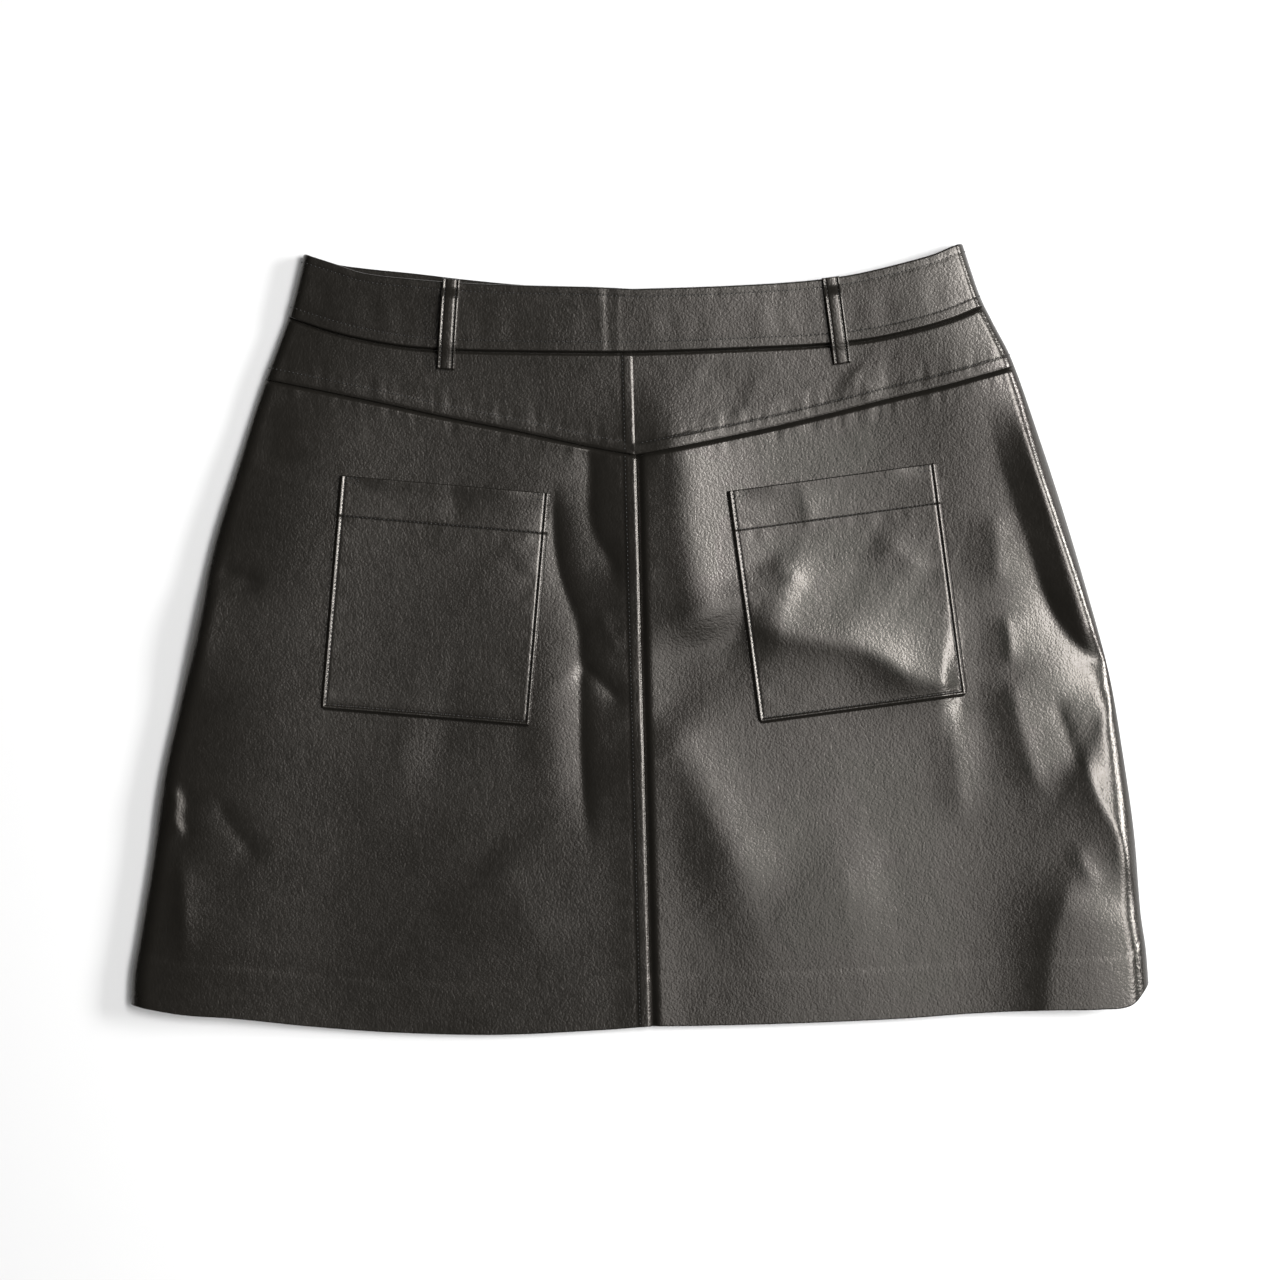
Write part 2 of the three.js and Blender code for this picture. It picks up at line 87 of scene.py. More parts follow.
# Creases: line, rise, reach to the left and right of the way it runs, how sharp its bottom or crest
# is (small is sharp), and how much of each end fades
creases = [
    ([(191, 137), (204, 89), (217, 48), (226, 18), (237, -3), (254, -20), (272, -32)],
     -1.9, 10, 26, 2.5, (0.4, 0.12)),
    ([(215, 56), (222, 30), (231, 8), (243, -9), (258, -21), (274, -30)],
     -3, 12, 24, 1.5, (0.5, 0.1)),
    ([(210, 137), (222, 92), (236, 52), (246, 26), (257, 2), (269, -16)],
     3.6, 7, 10, 3, (0.35, 0.15)),
    ([(242, -126), (235, -150), (229, -169), (225, -186), (222, -224)], 2.3, 90, 12, 6, (0.35, 0)),
    ([(10, 150), (16, 118), (24, 94), (25, 66), (28, 38), (33, 14), (41, -9)],
     5, 30, 34, 10, (0.34, 0.18)),
    ([(5, -41), (17, -60), (30, -85), (40, -109), (53, -132), (72, -154)],
     2.5, 18, 24, 11, (0.2, 0.35)),
    ([(54, 10), (74, 2), (96, -3), (118, -7), (134, -14), (149, -24), (164, -28), (180, -29)],
     3.5, 18, 12, 4, (0.2, 0.1)),
    ([(242, -66), (247, -80), (253, -97), (261, -112), (267, -126), (269, -142), (268, -158)],
     2.4, 9, 12, 2, (0.25, 0.3)),
    ([(239, -118), (244, -134), (253, -147)], 0.7, 5, 6, 2, (0.4, 0.4)),
    ([(-27, 114), (-26, 95), (-27, 74), (-25, 61), (-20, 51), (-15, 41), (-12, 23)],
     -1.9, 6, 17, 1.5, (0.15, 0.25)),
    ([(-47, 91), (-47, 60), (-44, 37), (-38, 18), (-34, 0), (-35, -56), (-34, -89), (-31, -124)],
     -2, 5.5, 15, 0.8, (0.12, 0.25)),
    ([(-36, -11), (-24, -23), (-15, -32), (-7, -42)], -1.4, 5, 7, 0.8, (0.2, 0.4)),
]
# Smaller ones, in the same columns
wrinkles = [
    ([(197, 70), (200, 47), (200, 20)], 0.7, 9, 9, 3, (0.3, 0.3)),
    ([(203, 10), (206, -6), (206, -24)], 0.8, 6, 5, 1, (0.3, 0.4)),
    ([(205, -22), (208, -42), (212, -62), (218, -82), (227, -99)], 1, 9, 9, 3, (0.25, 0.3)),
    ([(229, -33), (234, -51), (240, -70), (246, -88)], -0.7, 4, 10, 2, (0.3, 0.3)),
    ([(188, 39), (189, -6), (191, -50), (196, -95)], -0.4, 14, 10, 5, (0.3, 0.3)),
    ([(173, -39), (175, -72), (176, -112)], 0.7, 9, 8, 4, (0.35, 0.35)),
    ([(-24, 19), (-17, 1), (-11, -9)], 0.5, 5, 6, 1.5, (0.3, 0.3)),
    ([(-237, 47), (-240, 28), (-244, 6), (-250, -34)], 2.2, 15, 7, 4, (0.35, 0.5)),
    ([(-237, 46), (-224, 41), (-208, 34)], -0.8, 5, 6, 0.8, (0.2, 0.4)),
    ([(-267, -73), (-262, -83), (-263, -94), (-258, -105)], 1.2, 4, 4, 1, (0.25, 0.25)),
    ([(-262, -70), (-256, -82), (-257, -96), (-253, -107)], -0.6, 4, 4, 1, (0.25, 0.25)),
    ([(-260, -106), (-259, -139), (-259, -181)], 1.3, 9, 5, 2.5, (0.35, 0.45)),
    ([(-242, -79), (-230, -101), (-214, -121)], -0.8, 7, 7, 2, (0.3, 0.3)),
    ([(-209, 142), (-203, 121), (-210, 100)], -0.8, 12, 12, 5, (0.3, 0.3)),
    ([(-75, 59), (-66, 48), (-55, 39)], 0.25, 5, 6, 2, (0.3, 0.3)),
    ([(-75, 51), (-67, 40), (-55, 29)], -0.2, 5, 6, 2, (0.3, 0.3)),
    ([(74, 47), (82, 34), (94, 24)], 0.8, 9, 20, 3, (0.4, 0.4)),
    ([(129, 54), (147, 43), (163, 30)], 0.7, 10, 22, 3, (0.4, 0.4)),
    ([(91, 88), (94, 74), (97, 58)], 0.4, 9, 6, 2, (0.3, 0.3)),
    ([(-103, 93), (-102, 81), (-101, 64)], -0.4, 6, 6, 2, (0.3, 0.3)),
    ([(37, 154), (50, 142), (66, 133)], -0.3, 12, 12, 5, (0.3, 0.3)),
    ([(58, 40), (64, 18), (73, -4)], 1.2, 30, 16, 9, (0.45, 0.45)),
    ([(117, 146), (126, 139), (140, 135)], 0.5, 9, 9, 4, (0.3, 0.3)),
    ([(-136, -54), (-97, -61), (-47, -59)], -1, 30, 22, 8, (0.3, 0.3)),
    ([(29, -164), (85, -148), (141, -139)], 1, 30, 24, 8, (0.3, 0.3)),
    ([(-93, -116), (-72, -144), (-61, -178)], 0.8, 22, 26, 8, (0.3, 0.3)),
]


def smooth(t):
    t = np.clip(t, 0, 1)
    return t * t * (3 - 2 * t)


def curve(at, keys, values):
    keys = np.asarray(keys, float)
    values = np.asarray(values, float)
    x = np.clip(at, keys[0], keys[-1])
    i = np.clip(np.searchsorted(keys, x, side="right") - 1, 0, len(keys) - 2)
    before = np.maximum(np.arange(len(keys)) - 1, 0)
    after = np.minimum(np.arange(len(keys)) + 1, len(keys) - 1)
    slope = (values[after] - values[before]) / (keys[after] - keys[before])
    span = keys[i + 1] - keys[i]
    t = (x - keys[i]) / span
    h = t * t * (3 - 2 * t)
    bend = span * (t * (1 - t) ** 2 * slope[i] - t * t * (1 - t) * slope[i + 1])
    return (1 - h) * values[i] + h * values[i + 1] + bend


def edgeAt(side, y):
    return curve(y, sideRows["y"], sideRows[side])


def seamAt(side, share, key):
    if key == "frontSeam":
        seam, front, back = [seamAt(side, share, line) for line in ("bandSeam", "frontWaist", "backWaist")]
        return seam + front - back
    middle = seamRows["at"].index(0)
    if side == "left":
        keys = [-at for at in seamRows["at"][middle::-1]]
        return curve(share, keys, seamRows[key][middle::-1])
    return curve(share, seamRows["at"][middle:], seamRows[key][middle:])


def grow(y, atWaist, atHem):
    return atWaist + (atHem - atWaist) * smooth((lay["waistY"] - y) / lay["flareRun"])


def through(points, steps=4):
    # smooth line through a crease's points
    points = np.asarray(points, float)
    at = np.linspace(0, len(points) - 1, steps * (len(points) - 1) + 1)
    return np.stack([curve(at, np.arange(len(points)), points[:, i]) for i in (0, 1)], -1)


def creaseAt(crease, x, y):
    points, rise, left, right, edge, fade = crease
    line = through(points)
    span = 9 * max(left, right)
    near = (x > line[:, 0].min() - span) & (x < line[:, 0].max() + span)
    near = near & (y > line[:, 1].min() - span) & (y < line[:, 1].max() + span)
    total = np.zeros(np.shape(x))
    x, y = x[near], y[near]
    ways = np.diff(line, axis=0)
    lengths = np.hypot(*ways.T)
    runs = np.concatenate([[0], np.cumsum(lengths)])
    nearest = np.full(np.shape(x), np.inf)
    at = np.zeros(np.shape(x))
    width = np.ones(np.shape(x))
    for start, way, length, run in zip(line, ways, lengths, runs):
        share = np.clip(((x - start[0]) * way[0] + (y - start[1]) * way[1]) / length**2, 0, 1)
        offX = x - start[0] - share * way[0]
        offY = y - start[1] - share * way[1]
        distance = np.hypot(offX, offY)
        closer = distance < nearest
        nearest = np.where(closer, distance, nearest)
        at = np.where(closer, (run + share * length) / runs[-1], at)
        width = np.where(closer, np.where(way[0] * offY - way[1] * offX >= 0, left, right), width)
    ends = smooth(at / max(fade[0], 0.001)) * smooth((1 - at) / max(fade[1], 0.001))
    total[near] = rise * ends * np.exp((edge - np.hypot(nearest, edge)) / width)
    return total


def height(x, y):
    x, y = np.broadcast_arrays(np.asarray(x, float), np.asarray(y, float))
    z = np.full(x.shape, float(lay["height"]))
    lowest = z * 0
    for side, mine in (("left", x < 0), ("right", x >= 0)):
        fold = sideFold[side]
        edge = edgeAt(side, y)
        fromSwell = (edge - np.abs(x) - fold["swellIn"]) / fold["swellWidth"]
        swell = grow(y, fold["swellAtWaist"], fold["swellAtHem"]) * np.exp(-(fromSwell**2))
        z = np.where(mine, z + swell, z)
        aboveHem = y - seamAt(side, np.clip(np.abs(x) / edge, 0, 1), "hem")
        nearHem = smooth((36 - aboveHem) / 5)
        lowest = np.where(mine, lay["lowest"] + (lay["lowestAtHem"] - lay["lowest"]) * nearHem, lowest)
    for middle, down in ((backRidge, -1), (waistRise, 1)):
        along = smooth(down * (y - middle["startY"]) / middle["run"])
        z = z + middle["height"] * np.exp(-((x / middle["width"]) ** 2)) * along
    for crease in creases + wrinkles:
        z = z + creaseAt(crease, x, y)
    return lowest + lay["soft"] * np.logaddexp(0, (z - lowest) / lay["soft"])


def ripple(along, seed, longest=26, shortest=7):
    # uneven pucker along a seam, about -1 to 1
    phases = np.random.default_rng(seed).uniform(0, 2 * math.pi, 6)
    lengths = np.geomspace(longest, shortest, 6)
    waves = sum(np.sin(2 * math.pi * along / length + phase) for length, phase in zip(lengths, phases))
    return waves / 3


def bump(distance, width):
    return np.exp(-((distance / width) ** 2))


def shareOf(side, x, y):
    return np.clip(np.abs(x) / edgeAt(side, y), 0, 1)


# Seams: how far each doubled strip rises, and how deep its stitches pull in
lap = {
    "width": 6.2, "raise": 0.3, "step": 1.6, "groove": 0.16, "grooveIn": 0.5, "grooveOut": 1.8,
    "edgeDrop": 0.45, "edgeReach": 1.7,
}
tuck = {"under": 4.0, "drop": 1.9, "reach": 2.3, "centreReach": 5.0}
puckers = {"rise": 0.07, "reach": 6.0}


def groove(distance, near, far):
    # stitch row pulled in, with one side steeper than the other
    return lap["groove"] * bump(distance, np.where(distance < 0, near, far))


def strip(distance, width):
    # cross section of a doubled, topstitched strip, measured in from its edge
    rise = lap["raise"] * smooth((width + lap["step"] - distance) / lap["step"])
    edge = lap["edgeDrop"] * smooth(1 - distance / lap["edgeReach"])
    return rise - edge - groove(distance - width, lap["grooveIn"], lap["grooveOut"])


def under(distance, reach):
    # cloth dipping under a neighbour's edge
    return -tuck["drop"] * smooth((reach - distance) / (reach + 0.4))


hemTurn = {"allowance": 28, "rise": 0.2, "soft": 4.5, "lineDepth": 0.03, "lineWidth": 1.8}


def centreLift(side, x, y, width):
    if side == "left":
        pull = puckers["rise"] * ripple(y, 3) * bump(np.abs(x) - width - 2, puckers["reach"])
        return strip(np.abs(x), width) + pull
    return under(x, tuck["centreReach"]) + puckers["rise"] * ripple(y, 4) * bump(x - 3, puckers["reach"])


def panelLift(side):
    def lift(x, y):
        share = shareOf(side, x, y)
        below = seamAt(side, share, "yokeSeam") - y
        above = y - seamAt(side, share, "hem")
        fromTurn = hemTurn["allowance"] + hemTurn["soft"] / 2 - above
        hemRise = hemTurn["rise"] * smooth(fromTurn / hemTurn["soft"])
        line = hemTurn["lineDepth"] * bump(above - hemTurn["allowance"] - 1.5, hemTurn["lineWidth"])
        pull = puckers["rise"] * ripple(x, 5) * bump(below - 3, puckers["reach"])
        centre = centreLift(side, x, y, lap["width"])
        return centre + under(below, tuck["reach"]) + hemRise - line + pull
    return lift


def yokeLift(side):
    def lift(x, y):
        share = shareOf(side, x, y)
        above = y - seamAt(side, share, "yokeSeam")
        below = seamAt(side, share, "bandSeam") - y
        pull = puckers["rise"] * ripple(x, 6) * bump(above - 8, puckers["reach"])
        centre = centreLift(side, x, y, lap["width"])
        low = strip(above, lap["width"])
        return np.where(low > centre, low, centre) + under(below, tuck["reach"]) + pull
    return lift


band = {
    "raise": 1.35, "topRow": 4.5, "lowRow": 5.6, "pull": 0.09, "topPull": 0.04,
    "creaseX": -13.5, "creaseDepth": 0.35, "creaseLip": 0.2,
}


def bandLift(side):
    def lift(x, y):
        share = shareOf(side, x, y)
        above = y - seamAt(side, share, "bandSeam")
        below = seamAt(side, share, "backWaist") - y
        grooves = groove(above - band["lowRow"], 0.6, 1.4) + groove(below - band["topRow"], 0.6, 1.4)
        pull = band["pull"] * ripple(x, 8, 80, 15) * bump(above - 14, 10)
        pull = pull + band["topPull"] * ripple(x, 9) * bump(below - 3, 4)
        crease = x - band["creaseX"]
        fold = band["creaseLip"] * bump(crease - 3, 2.4) - band["creaseDepth"] * bump(crease, 1.8)
        return band["raise"] - grooves + pull + fold
    return lift


def layOut(side, columns, rows):
    # outer points of a wall before it turns: distance out from the centre back, and height up the skirt
    # kinds of column: 0 millimetres, 1 share of the top, 2 round the side fold, 3 under it,
    # 4 share of the front
    kind, value, angle = columns
    edge = np.full((len(rows["share"]), len(kind)), float(edgeAt(side, 0)))
    x = edge * 0
    y = edge * 0
    share = np.asarray(rows["share"], float)[:, None]
    add = np.asarray(rows["add"], float)[:, None]
    near = 12.0
    for _ in range(9):
        wide = grow(y, sideFold[side]["atWaist"], sideFold[side]["atHem"])
        top = near * (1 - value) + value * (edge - wide)
        bent = edge - np.where(angle <= math.pi / 2, wide, turn["middle"]) * (1 - np.sin(angle))
        flat = leather["gap"] / 2 + value * (edge - turn["seamIn"] - leather["gap"] * 1.5)
        beneath = edge - turn["middle"] - value
        choices = [value + edge * 0, top, bent, beneath]
        x = np.select([kind == i for i in range(4)], choices, flat)
        low = seamAt(side, x / edge, rows["low"])
        y = low + share * (seamAt(side, x / edge, rows["high"]) - low) + add
        edge = edgeAt(side, y)
    return x, y


def shapeOf(side, columns, rows, lift):
    x, y = layOut(side, columns, rows)
    sign = -1 if side == "left" else 1
    top = height(sign * x, y) + lift(sign * x, y)
    angle = columns[2]
    sine, cosine = np.sin(angle), np.cos(angle)
    reach = np.where(cosine >= 0, top - turn["middle"], turn["middle"])

    def points(inset):
        return np.stack([sign * (x - inset * sine), y + 0 * x, turn["middle"] + (reach - inset) * cosine], -1)
    return points


edgeSteps = [0, 0.12, 0.3, 0.55, 0.9, 1.4, 2.1, 2.9, 3.8]
seamSteps = edgeSteps + [4.7, 5.4, 5.8, 6.1, 6.4, 6.8, 7.3, 7.9, 8.8, 10.2]


underSteps = [2.4, 4.6, 6.2, 6.8, 7.05, 7.25]


def columnsOf(nearSteps, count):
    # near steps in millimetres, then shares of the way out to the side fold, the fold, and the strip
    # under it
    shares = np.linspace(0, 1, count + 1)[1:]
    angles = np.linspace(0, math.pi, 2 * turn["steps"] + 1)[1:]
    kind = np.repeat([0, 1, 2, 3], [len(nearSteps), count, len(angles), len(underSteps)])
    value = np.concatenate([nearSteps, shares, angles * 0, underSteps])
    angle = np.concatenate([np.zeros(len(nearSteps) + count), angles, np.full(len(underSteps), math.pi)])
    return kind, value, angle


def rowsOf(low, high, lowSteps, count, highSteps):
    # low steps above one seam, even shares, then high steps up to the next
    even = np.linspace(0, 1, count + 2)[1:-1]
    lowSteps, highSteps = np.asarray(lowSteps, float), np.asarray(highSteps, float)
    return {
        "low": low, "high": high,
        "share": np.concatenate([lowSteps * 0, even, highSteps * 0 + 1]),
        "add": np.concatenate([lowSteps, lowSteps[-1] * (1 - even) + highSteps[0] * even, highSteps]),
    }


def acrossBoth(columns, rows, lift):
    # one wall from the left side over the back to the right side
    halves = [shapeOf(side, columns, rows, lift(side)) for side in ("left", "right")]
    count = len(columns[0])

    def points(inset):
        inset = np.broadcast_to(inset, (len(rows["share"]), 2 * count))
        left = halves[0](inset[:, count - 1::-1])[:, ::-1]
        return np.concatenate([left, halves[1](inset[:, count:])], axis=1)
    return points


def facing(outer, inner):
    out = outer - inner
    return out / np.linalg.norm(out, axis=-1, keepdims=True)


def lineOver(side, columns, low, high, share, add, lift):
    # a line along a wall's outer face with the way it faces
    shape = shapeOf(side, columns, {"low": low, "high": high, "share": [share], "add": [add]}, lift)
    return shape(0.0)[0], facing(shape(0.0)[0], shape(0.4)[0])


def acrossLine(columns, low, high, share, add, lift):
    left, right = [lineOver(side, columns, low, high, share, add, lift(side)) for side in ("left", "right")]
    return [np.concatenate([one[::-1], other]) for one, other in zip(left, right)]


def upwards(along):
    return np.tile([0.0, 0.0, 1.0], (len(along), 1))


def toObject(name, points, faces):
    points = np.asarray(points, float).reshape(-1, 3).copy()
    points[:, 0] += centreX
    points[:, 1] += centreY
    mesh = bpy.data.meshes.new(name)
    mesh.from_pydata((points * mm).tolist(), [], faces)
    mesh.validate()
    piece = bpy.data.objects.new(name, mesh)
    bpy.context.scene.collection.objects.link(piece)
    return piece


def edgeDistance(points):
    # way to the nearest edge of a grid, measured along its rows and columns
    distance = np.full(points.shape[:2], np.inf)
    for axis in (0, 1):
        steps = np.linalg.norm(np.diff(points, axis=axis), axis=2)
        start = np.insert(np.cumsum(steps, axis=axis), 0, 0, axis=axis)
        distance = np.minimum(distance, np.minimum(start, np.take(start, [-1], axis=axis) - start))
    return distance


def roundOff(distance, radius):
    short = np.clip(1 - distance / radius, 0, 1)
    return radius * (1 - np.sqrt(1 - short**2))


def wall(name, points, thick, radius):
    # closed cloth between an outer and an inner face, with its edges rounded
    distance = edgeDistance(points(0.0))
    inset = roundOff(distance, radius)
    outer, inner = points(inset), points(thick - inset)
    rows, width = distance.shape
    index = np.arange(rows * width).reshape(rows, width)
    a, b, c, d = index[:-1, :-1], index[:-1, 1:], index[1:, 1:], index[1:, :-1]
    front = np.stack([a, b, c, d], -1).reshape(-1, 4)
    back = front[:, ::-1] + rows * width
    rim = np.concatenate([index[0], index[1:, -1], index[-1, -2::-1], index[-2:0:-1, 0]])
    ahead = np.roll(rim, -1)
    sides = np.stack([rim, rim + rows * width, ahead + rows * width, ahead], -1)
    faces = np.concatenate([front, back, sides])
    corners = np.concatenate([outer.reshape(-1, 3), inner.reshape(-1, 3)])
    first = corners[faces[:, 0]]
    volume = sum(
        (first * np.cross(corners[faces[:, i]], corners[faces[:, i + 1]])).sum() for i in (1, 2)
    )
    if volume < 0:
        faces = faces[:, ::-1]
    piece = toObject(name, corners, faces.tolist())
    piece.data.polygons.foreach_set("use_smooth", [True] * len(piece.data.polygons))
    return piece


def hand(piece, node, slot, material, **cloth):
    # finish of one sewn piece: its material, its place under the root body, and hiding the CAD part it stands
    # for
    piece.data.materials.append(material)
    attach(piece, "root")
    if node:
        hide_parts(node)


stitch = {"length": 1.3, "thick": 0.7, "pitch": 2.4, "arch": 0.24, "sink": 0.06, "stray": 0.05}


def baseStitch():
    # one stitch: a small ball drawn out long, its ends bent down into the leather
    bpy.ops.object.select_all(action="DESELECT")
    bpy.ops.mesh.primitive_uv_sphere_add(segments=6, ring_count=5, radius=0.5)
    made = bpy.context.object
    bpy.ops.object.mode_set(mode="EDIT")
    bpy.ops.mesh.select_all(action="SELECT")
    bpy.ops.transform.rotate(value=math.pi / 2, orient_axis="Y", center_override=(0, 0, 0))
    size = (stitch["length"], stitch["thick"], stitch["thick"])
    bpy.ops.transform.resize(value=size, center_override=(0, 0, 0))
    bpy.ops.object.mode_set(mode="OBJECT")
    corners = np.array([tuple(corner.co) for corner in made.data.vertices])
    corners[:, 2] -= stitch["arch"] * (2 * corners[:, 0] / stitch["length"]) ** 2
    faces = [tuple(face.vertices) for face in made.data.polygons]
    bpy.data.objects.remove(made)
    return corners, faces


def sewStitches(name, lines):
    # copies of the stitch along each line, joined in one piece
    corners, faces = threadStitch
    stray = np.random.default_rng(len(name) + 40)
    points = []
    for line, out in lines:
        run = np.insert(np.cumsum(np.linalg.norm(np.diff(line, axis=0), axis=1)), 0, 0)
        count = max(2, round(run[-1] / stitch["pitch"]))
        places = (np.arange(count) + 0.5) * run[-1] / count + stray.normal(0, stitch["stray"], count)

        def at(values, where):
            return np.stack([np.interp(where, run, values[:, i]) for i in range(3)], -1)
        ahead = facing(at(line, places + 0.8), at(line, places - 0.8))
        up = at(out, places)
        across = facing(np.cross(up, ahead), 0)
        ahead = facing(ahead + across * stray.normal(0, stitch["stray"], (count, 1)), 0)
        up = np.cross(ahead, across)
        sideways = across * stray.normal(0, stitch["stray"], (count, 1))
        middle = at(line, places) + up * stitch["sink"] + sideways
        ways = enumerate((ahead, across, up))
        turned = sum(corners[None, :, i, None] * way[:, None, :] for i, way in ways)
        points.append((middle[:, None, :] + turned).reshape(-1, 3))
    points = np.concatenate(points)
    copies = len(points) // len(corners)
    allFaces = [tuple(i + copy * len(corners) for i in face) for copy in range(copies) for face in faces]
    piece = toObject(name, points, allFaces)
    piece.data.polygons.foreach_set("use_smooth", [True] * len(allFaces))
    hand(piece, None, "thread", threadLook)


# Pockets: patches that lie on the panels, with a turned hem along the top
pocket = {
    "width": 118.5, "height": 131.5, "corner": 4, "off": 0.2, "thick": 1.2, "hemDepth": 22.4,
    "hemRaise": 0.5, "rowIn": 3.3, "edgeSwell": 0.5, "edgeFall": 0.8, "groove": 0.24, "gape": 0.9,
    "tackLong": 7.5, "tackIn": 2.8, "pull": 0.09, "hemPull": 0.05,
}
pocketPlaces = {
    "left": {"x": -114.5, "y": 24, "angle": -6.4},
    "right": {"x": 116, "y": 22.2, "angle": 6.2},
}


def pocketAt(side, u, v):
    place = pocketPlaces[side]
    c, s = math.cos(math.radians(place["angle"])), math.sin(math.radians(place["angle"]))
    return place["x"] + u * c - v * s, place["y"] + u * s + v * c


def pocketBase(side, u, v):
    # underside of the patch: on the panel, and a little open along the top
    x, y = pocketAt(side, u, v)
    fromTop = pocket["height"] / 2 - v
    gape = pocket["gape"] * bump(fromTop, 6) * smooth((pocket["width"] / 2 - 6 - np.abs(u)) / 22)
    return x, y, height(x, y) + pocket["off"] + gape


def pocketLift(side, u, v):
    fromEdge = np.minimum(pocket["width"] / 2 - np.abs(u), pocket["height"] / 2 + v)
    fromTop = pocket["height"] / 2 - v
    edge = pocket["edgeSwell"] * bump(fromEdge - 2, 0.9) - pocket["edgeFall"] * smooth(1 - fromEdge / 1.9)
    edge = edge - pocket["groove"] * bump(fromEdge - pocket["rowIn"], 0.5)
    hem = pocket["hemRaise"] * smooth((pocket["hemDepth"] + 0.9 - fromTop) / 1.4)
    row = pocket["groove"] * 0.35 * bump(fromTop - pocket["hemDepth"], 0.5)
    seed = 21 if side == "left" else 22
    pull = pocket["pull"] * ripple(v, seed, 22, 6) * bump(fromEdge - 5, 3.5)
    pull = pull + pocket["hemPull"] * ripple(u, seed + 4) * bump(fromTop - 26, 5)
    return pocket["thick"] + edge + hem - row + pull


def pocketShape(side):
    graded = np.array([0, .1, .25, .45, .7, 1, 1.35, 1.7, 2.05, 2.4, 2.7, 3, 3.3, 3.6, 3.9, 4.4, 5.2, 6.4])
    hemSteps = np.array([2.6, 1.8, 1.2, 0.8, 0.4, 0, -0.5, -1.0, -1.6])
    topSteps = np.array([2.1, 1.4, 0.9, 0.55, 0.3, 0.12, 0])
    halfWidth, halfHeight = pocket["width"] / 2, pocket["height"] / 2
    hemLine = halfHeight - pocket["hemDepth"]
    across = np.concatenate([
        graded - halfWidth, np.linspace(8 - halfWidth, halfWidth - 8, 60), halfWidth - graded[::-1],
    ])
    up = np.concatenate([
        graded - halfHeight, np.linspace(8 - halfHeight, hemLine - 3.4, 52), hemLine - hemSteps,
        np.linspace(hemLine + 3, halfHeight - 3, 10), halfHeight - topSteps,
    ])
    v = up[:, None] + 0 * across[None]
    turned = np.clip(pocket["corner"] - (halfHeight + v), 0, pocket["corner"])
    u = across[None] * (1 - (pocket["corner"] - np.sqrt(pocket["corner"] ** 2 - turned**2)) / halfWidth)
    x, y, base = pocketBase(side, u, v)
    lift = pocketLift(side, u, v)

    def points(inset):
        return np.stack([x, y, base + lift - inset], -1)
    return points, lift


def pocketLine(side, corners):
    # a row of stitches through these corners of the patch
    line = np.array(corners, float)
    run = np.insert(np.cumsum(np.hypot(*np.diff(line, axis=0).T)), 0, 0)
    steps = np.linspace(0, run[-1], max(3, int(run[-1] / 1.2)))
    u, v = np.interp(steps, run, line[:, 0]), np.interp(steps, run, line[:, 1])
    x, y, base = pocketBase(side, u, v)
    return np.stack([x, y, base + pocketLift(side, u, v)], -1), upwards(u)


def pocketRows(side):
    right, top = pocket["width"] / 2 - pocket["rowIn"], pocket["height"] / 2
    low, hemLine, tack = pocket["rowIn"] - top, top - pocket["hemDepth"], top - pocket["tackIn"]
    inner = right - pocket["tackLong"]
    rows = [
        [(-right, top - 1), (-right, low + 1.2), (-right + 1.2, low),
         (right - 1.2, low), (right, low + 1.2), (right, top - 1)],
        [(0.6 - right, hemLine), (right - 0.6, hemLine)],
    ]
    for out, back in ((-right, -inner), (right, inner)):
        rows.append([(out, top - 0.9), (back, top - 0.9), (back, tack - 1), (out, tack - 1)])
    return [pocketLine(side, row) for row in rows]


# Belt loops: doubled strips that bridge the waistband
loop = {"width": 10, "thick": 1.9, "rowIn": 1.9, "edgeSwell": 0.35, "groove": 0.4, "crown": 0.12}
loopPlaces = {
    "left": {"top": (-100.4, 203.6), "bottom": (-105.1, 153.5)},
    "right": {"top": (111, 199), "bottom": (116.4, 150.7)},
}
bridge = {"along": [0, 5, 11, 24, 36, 43, 50], "stand": [1.7, 1.8, 3.9, 4.3, 3.9, 2.3, 1.1]}


def loopAt(side, down, across):
    top, bottom = np.array(loopPlaces[side]["top"]), np.array(loopPlaces[side]["bottom"])
    length = math.hypot(*(bottom - top))
    way = (bottom - top) / length
    reach = down * length / bridge["along"][-1]
    x = top[0] + way[0] * reach - way[1] * across
    y = top[1] + way[1] * reach + way[0] * across
    fromEdge = loop["width"] / 2 - np.abs(across)
    ridge = loop["edgeSwell"] * bump(fromEdge - 0.9, 0.6)
    row = loop["groove"] * bump(fromEdge - loop["rowIn"], 0.45)
    crown = loop["crown"] * bump(across, 1.6)
    base = height(x, y) + curve(down, bridge["along"], bridge["stand"])
    return x, y, base, loop["thick"] + ridge - row + crown


def loopShape(side):
    halfWidth = loop["width"] / 2
    graded = np.array([0, 0.1, 0.25, 0.45, 0.7, 1.0, 1.3, 1.6, 1.9, 2.2, 2.6, 3.2])
    across = np.concatenate([graded - halfWidth, [-0.9, 0, 0.9], halfWidth - graded[::-1]])
    down = np.concatenate([graded[:7], np.linspace(2, 48, 50), 50 - graded[6::-1]])
    x, y, base, lift = loopAt(side, down[:, None] + 0 * across, across + 0 * down[:, None])

    def points(inset):
        return np.stack([x, y, base + lift - inset], -1)
    edges = []
    for sign in (-1, 1):
        steps = np.linspace(1.5, 48.5, 48)
        rowAt = sign * (halfWidth - loop["rowIn"]) + 0 * steps
        lineX, lineY, lineBase, lineLift = loopAt(side, steps, rowAt)
        edges.append((np.stack([lineX, lineY, lineBase + lineLift], -1), upwards(steps)))
    return points, lift, edges


# Front halves: flat on the table, outer face down
front = {"panelDrop": 0.25, "flyWide": 34, "flyLow": 58, "flyTurn": 26}


